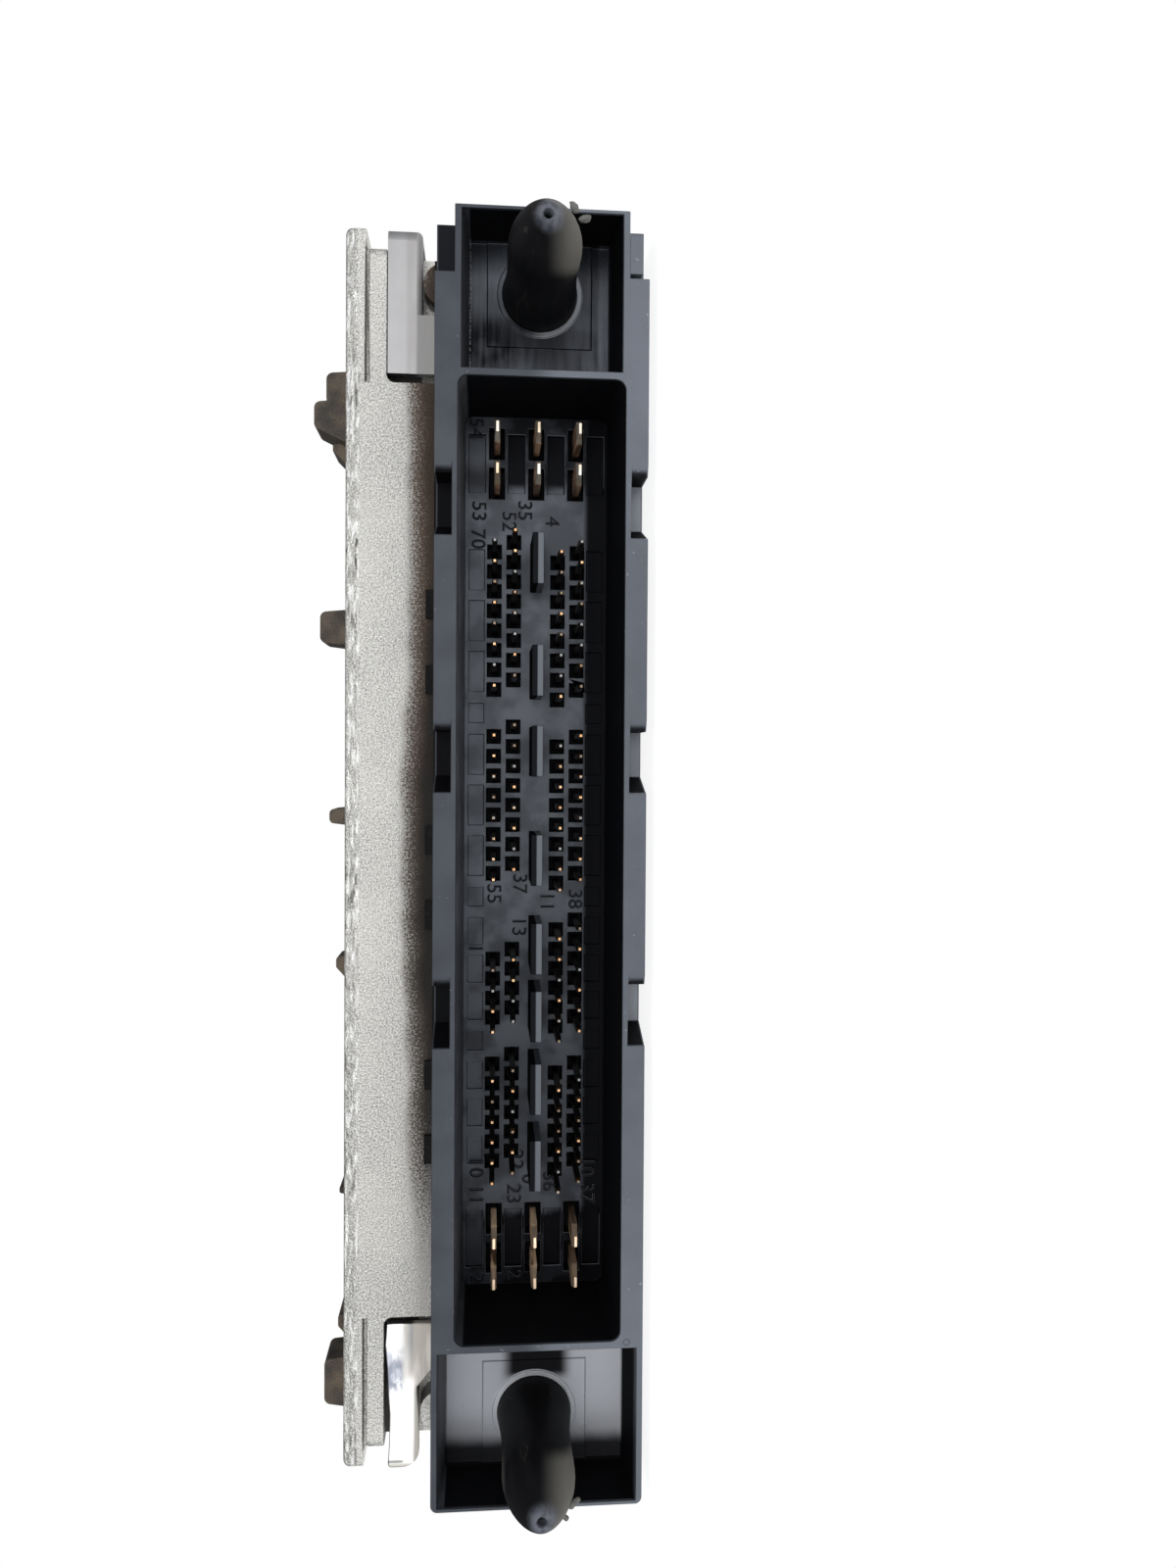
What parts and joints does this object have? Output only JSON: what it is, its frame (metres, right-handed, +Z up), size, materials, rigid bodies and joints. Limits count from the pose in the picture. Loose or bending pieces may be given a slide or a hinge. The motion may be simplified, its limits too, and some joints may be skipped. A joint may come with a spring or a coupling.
{
  "type": "engine control unit",
  "caption": "Flat cast-aluminium engine control unit with a long moulded plug header, guide posts and gilt pins on its front edge.",
  "frame": {"origin": "middle of the cover's outer face, on which the unit rests", "axes": "+X along the plug header to its narrow end, +Y from the header to the back, +Z up from the cover to the finned roof"},
  "size_m": [0.16, 0.1715, 0.0423],
  "materials": {
    "cast_aluminium": "bare pressure die casting, fine sandy grain",
    "pressed_aluminium": "satin rolled sheet",
    "bright_aluminium": "bright rolled strip, scuffed",
    "header_plastic": "satin moulded, glass filled",
    "post_plastic": "satin moulded",
    "seal_rubber": "matt silicone",
    "gilt_brass": "gilt, bright",
    "tinned_brass": "thin tin over brass",
    "zinc_steel": "zinc plated",
    "board_laminate": "green solder resist",
    "chip_moulding": "epoxy moulding",
    "capacitor_can": "sleeved can",
    "crystal_can": "bright can",
    "ferrite": "matt ferrite",
    "heat_pad": "soft filled silicone"
  },
  "bodies": {
    "root": {"cast_housing": "cast_aluminium", "base_cover": "pressed_aluminium", "cover_seal": "seal_rubber", "cover_screws": "zinc_steel", "plug_header": "header_plastic", "header_gasket": "seal_rubber", "guide_post_upper": "post_plastic", "guide_post_lower": "post_plastic", "power_blades_upper": "tinned_brass", "power_blades_lower": "tinned_brass", "retaining_bracket_upper": "bright_aluminium", "retaining_bracket_lower": "bright_aluminium", "bracket_screws": "zinc_steel", "signal_pins_a": "gilt_brass", "signal_pins_b": "gilt_brass", "signal_pins_c": "gilt_brass", "signal_pins_d": "gilt_brass", "circuit_board": "board_laminate", "board_screws": "zinc_steel", "heat_pad": "heat_pad", "microcontroller": "chip_moulding", "memory_chips": "chip_moulding", "driver_chips": "chip_moulding", "power_transistors": "chip_moulding", "filter_capacitors": "capacitor_can", "choke": "ferrite", "crystal": "crystal_can", "pressure_sensor": "chip_moulding"}
  },
  "joints": []
}
